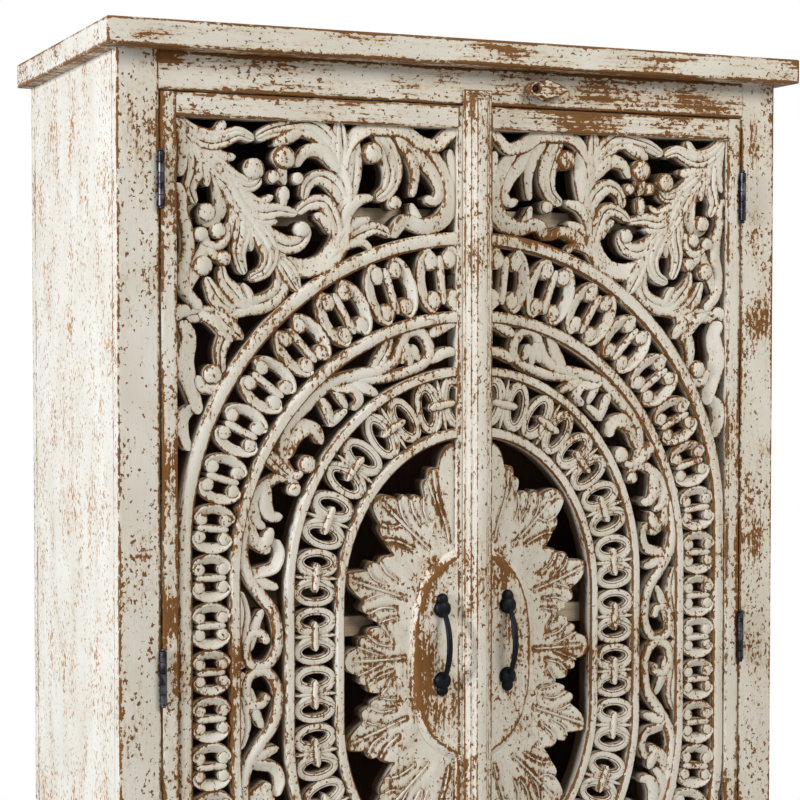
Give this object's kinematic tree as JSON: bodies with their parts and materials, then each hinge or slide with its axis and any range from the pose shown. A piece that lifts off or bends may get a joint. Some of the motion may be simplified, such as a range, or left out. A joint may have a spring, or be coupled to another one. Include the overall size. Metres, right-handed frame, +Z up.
{
  "type": "carved two-door jali cabinet",
  "caption": "Tall painted wooden cabinet: pierced, carved jali doors on butt hinges with iron pulls, a cover strip, a turn button and fixed shelves.",
  "frame": {"origin": "on the floor, in the middle of the outline seen from above", "axes": "+X to the viewer's right when facing the doors, +Y to the back, +Z up"},
  "size_m": [1.042, 0.515, 1.8],
  "materials": {
    "painted_wood": "worn cream paint over brown hardwood",
    "bare_wood": "waxed brown hardwood",
    "black_iron": "matte black",
    "dark_steel": "dark blued"
  },
  "bodies": {
    "cabinet": {"top_slab": "painted_wood", "face_top_rail": "painted_wood", "face_bottom_rail": "painted_wood", "face_post_left": "painted_wood", "face_post_right": "painted_wood", "rear_post_left": "painted_wood", "rear_post_right": "painted_wood", "bottom_board": "bare_wood", "shelf_1": "bare_wood", "shelf_2": "bare_wood", "shelf_3": "bare_wood", "side_board_front_left": "painted_wood", "side_board_rear_left": "painted_wood", "side_board_front_right": "painted_wood", "side_board_rear_right": "painted_wood", "shelf_cleats_left": "bare_wood", "shelf_cleats_right": "bare_wood", "back_board_1": "bare_wood", "back_board_2": "bare_wood", "back_board_3": "bare_wood", "back_board_4": "bare_wood", "back_board_5": "bare_wood", "hinge_frame_leaves_left": "dark_steel", "hinge_frame_leaves_right": "dark_steel", "hinge_pins_left": "dark_steel", "hinge_pins_right": "dark_steel", "turn_button_screw": "dark_steel"},
    "right_door": {"door_top_rail_right": "painted_wood", "door_bottom_rail_right": "painted_wood", "door_hinge_stile_right": "painted_wood", "door_meeting_stile_right": "painted_wood", "carved_panel_right": "painted_wood", "pull_right": "black_iron", "pull_bolts_right": "black_iron", "hinge_door_leaves_right": "dark_steel", "cover_strip": "painted_wood"},
    "left_door": {"door_top_rail_left": "painted_wood", "door_bottom_rail_left": "painted_wood", "door_hinge_stile_left": "painted_wood", "door_meeting_stile_left": "painted_wood", "carved_panel_left": "painted_wood", "pull_left": "black_iron", "pull_bolts_left": "black_iron", "hinge_door_leaves_left": "dark_steel"},
    "turn_button": {"turn_button": "painted_wood"}
  },
  "joints": [
    {"name": "right_door_swing", "type": "hinge", "parent": "cabinet", "child": "right_door", "pos_m": [0.4427, -0.22848, 0.951], "axis": [0, 0, 1], "range_deg": [0, 170]},
    {"name": "left_door_swing", "type": "hinge", "parent": "cabinet", "child": "left_door", "pos_m": [-0.4427, -0.22848, 0.951], "axis": [0, 0, 1], "range_deg": [-170, 0]},
    {"name": "turn_button_turn", "type": "hinge", "parent": "cabinet", "child": "turn_button", "pos_m": [0.0945, -0.23, 1.7387], "axis": [0, 1, 0], "range_deg": [0, 180]}
  ],
  "couplings": [
    {"joint": "left_door_swing", "follows": "right_door_swing", "ratio": -1}
  ]
}
